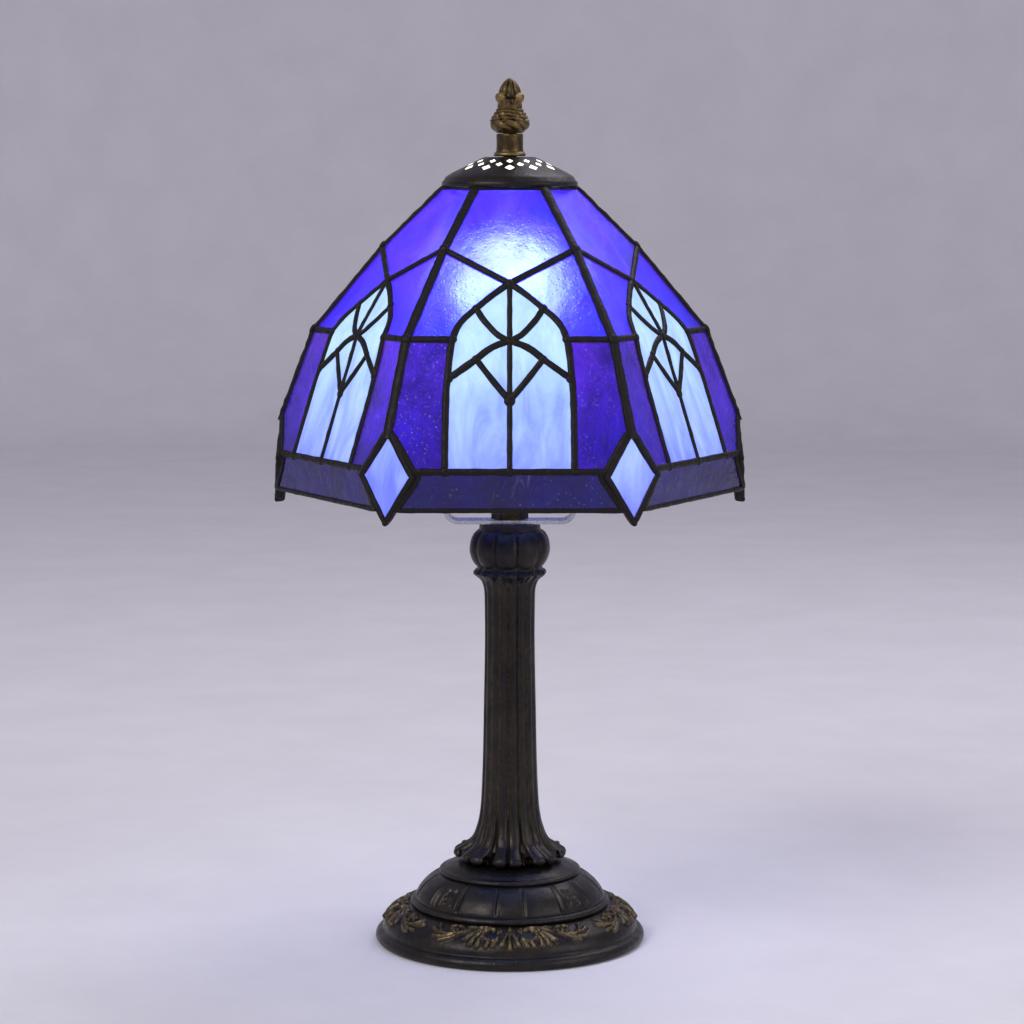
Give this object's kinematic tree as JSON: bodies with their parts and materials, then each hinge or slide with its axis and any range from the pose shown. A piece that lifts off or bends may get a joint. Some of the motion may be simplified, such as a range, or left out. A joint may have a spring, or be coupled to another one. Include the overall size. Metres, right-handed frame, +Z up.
{
  "type": "table lamp",
  "caption": "Table lamp with a six-sided leaded-glass shade on a harp, a cast ornamented column and a round stepped foot.",
  "frame": {"origin": "on the lamp's vertical axis, at the surface that its felt pad rests on", "axes": "+Z up along the column; -Y towards the front, through the middle of one side of the shade; +X to the right"},
  "size_m": [0.2046, 0.1876, 0.3768],
  "materials": {
    "felt": "matt felt",
    "bronze": "dark antique bronze, gold rubbed into the relief",
    "steel": "zinc plated",
    "nickel": "bright nickel",
    "brass": "antique brass",
    "came": "dark patinated solder",
    "blue_glass": "streaky saturated blue",
    "opal_glass": "pale blue opalescent",
    "bulb_glass": "frosted",
    "bulb_shell": "rolled thread",
    "phenolic": "moulded",
    "porcelain": "glazed",
    "rubber": "matt"
  },
  "bodies": {
    "stand": {"felt_pad": "felt", "base_foot": "bronze", "base_washer": "steel", "base_nut": "steel", "cord_grommet": "rubber", "lamp_pipe": "steel", "column": "bronze", "harp_saddle": "nickel", "neck_nut": "brass", "harp_loop": "nickel", "harp_sleeve_left": "nickel", "harp_sleeve_right": "nickel", "socket_cap": "phenolic", "socket_shell": "phenolic", "socket_interior": "porcelain"},
    "harp_swivel": {"harp_stud": "brass"},
    "shade": {"aperture_ring": "brass", "vented_cap": "bronze", "came_lattice": "came", "crown_glass_1": "blue_glass", "window_glass_1": "opal_glass", "flank_glass_left_1": "blue_glass", "flank_glass_right_1": "blue_glass", "skirt_glass_1": "blue_glass", "diamond_glass_1": "opal_glass", "crown_glass_2": "blue_glass", "window_glass_2": "opal_glass", "flank_glass_left_2": "blue_glass", "flank_glass_right_2": "blue_glass", "skirt_glass_2": "blue_glass", "diamond_glass_2": "opal_glass", "crown_glass_3": "blue_glass", "window_glass_3": "opal_glass", "flank_glass_left_3": "blue_glass", "flank_glass_right_3": "blue_glass", "skirt_glass_3": "blue_glass", "diamond_glass_3": "opal_glass", "crown_glass_4": "blue_glass", "window_glass_4": "opal_glass", "flank_glass_left_4": "blue_glass", "flank_glass_right_4": "blue_glass", "skirt_glass_4": "blue_glass", "diamond_glass_4": "opal_glass", "crown_glass_5": "blue_glass", "window_glass_5": "opal_glass", "flank_glass_left_5": "blue_glass", "flank_glass_right_5": "blue_glass", "skirt_glass_5": "blue_glass", "diamond_glass_5": "opal_glass", "crown_glass_6": "blue_glass", "window_glass_6": "opal_glass", "flank_glass_left_6": "blue_glass", "flank_glass_right_6": "blue_glass", "skirt_glass_6": "blue_glass", "diamond_glass_6": "opal_glass"},
    "finial_riser": {"finial_collar": "brass"},
    "finial_cap": {"finial": "brass"},
    "bulb_riser": {"bulb_contact": "phenolic"},
    "bulb": {"bulb_base": "bulb_shell", "bulb_globe": "bulb_glass"}
  },
  "joints": [
    {"name": "shade_swivel", "type": "hinge", "parent": "stand", "child": "harp_swivel", "pos_m": [0, 0, 0.3409], "axis": [0, 0, 1], "continuous": true},
    {"name": "shade_lift", "type": "slide", "parent": "harp_swivel", "child": "shade", "axis": [0, 0, 1], "range_m": [0, 0.16]},
    {"name": "finial_rise", "type": "slide", "parent": "shade", "child": "finial_riser", "axis": [0, 0, 1], "range_m": [0, 0.0047]},
    {"name": "finial_unscrew", "type": "hinge", "parent": "finial_riser", "child": "finial_cap", "pos_m": [0, 0, 0.36], "axis": [0, 0, 1], "range_deg": [0, 1800]},
    {"name": "bulb_rise", "type": "slide", "parent": "stand", "child": "bulb_riser", "axis": [0, 0, 1], "range_m": [0, 0.0165]},
    {"name": "bulb_unscrew", "type": "hinge", "parent": "bulb_riser", "child": "bulb", "pos_m": [0, 0, 0.24], "axis": [0, 0, 1], "range_deg": [0, 1620]}
  ],
  "couplings": [
    {"joint": "finial_unscrew", "follows": "finial_rise", "rad_per_m": 6684.2},
    {"joint": "bulb_rise", "follows": "bulb_unscrew", "m_per_rad": 0.00057773}
  ]
}
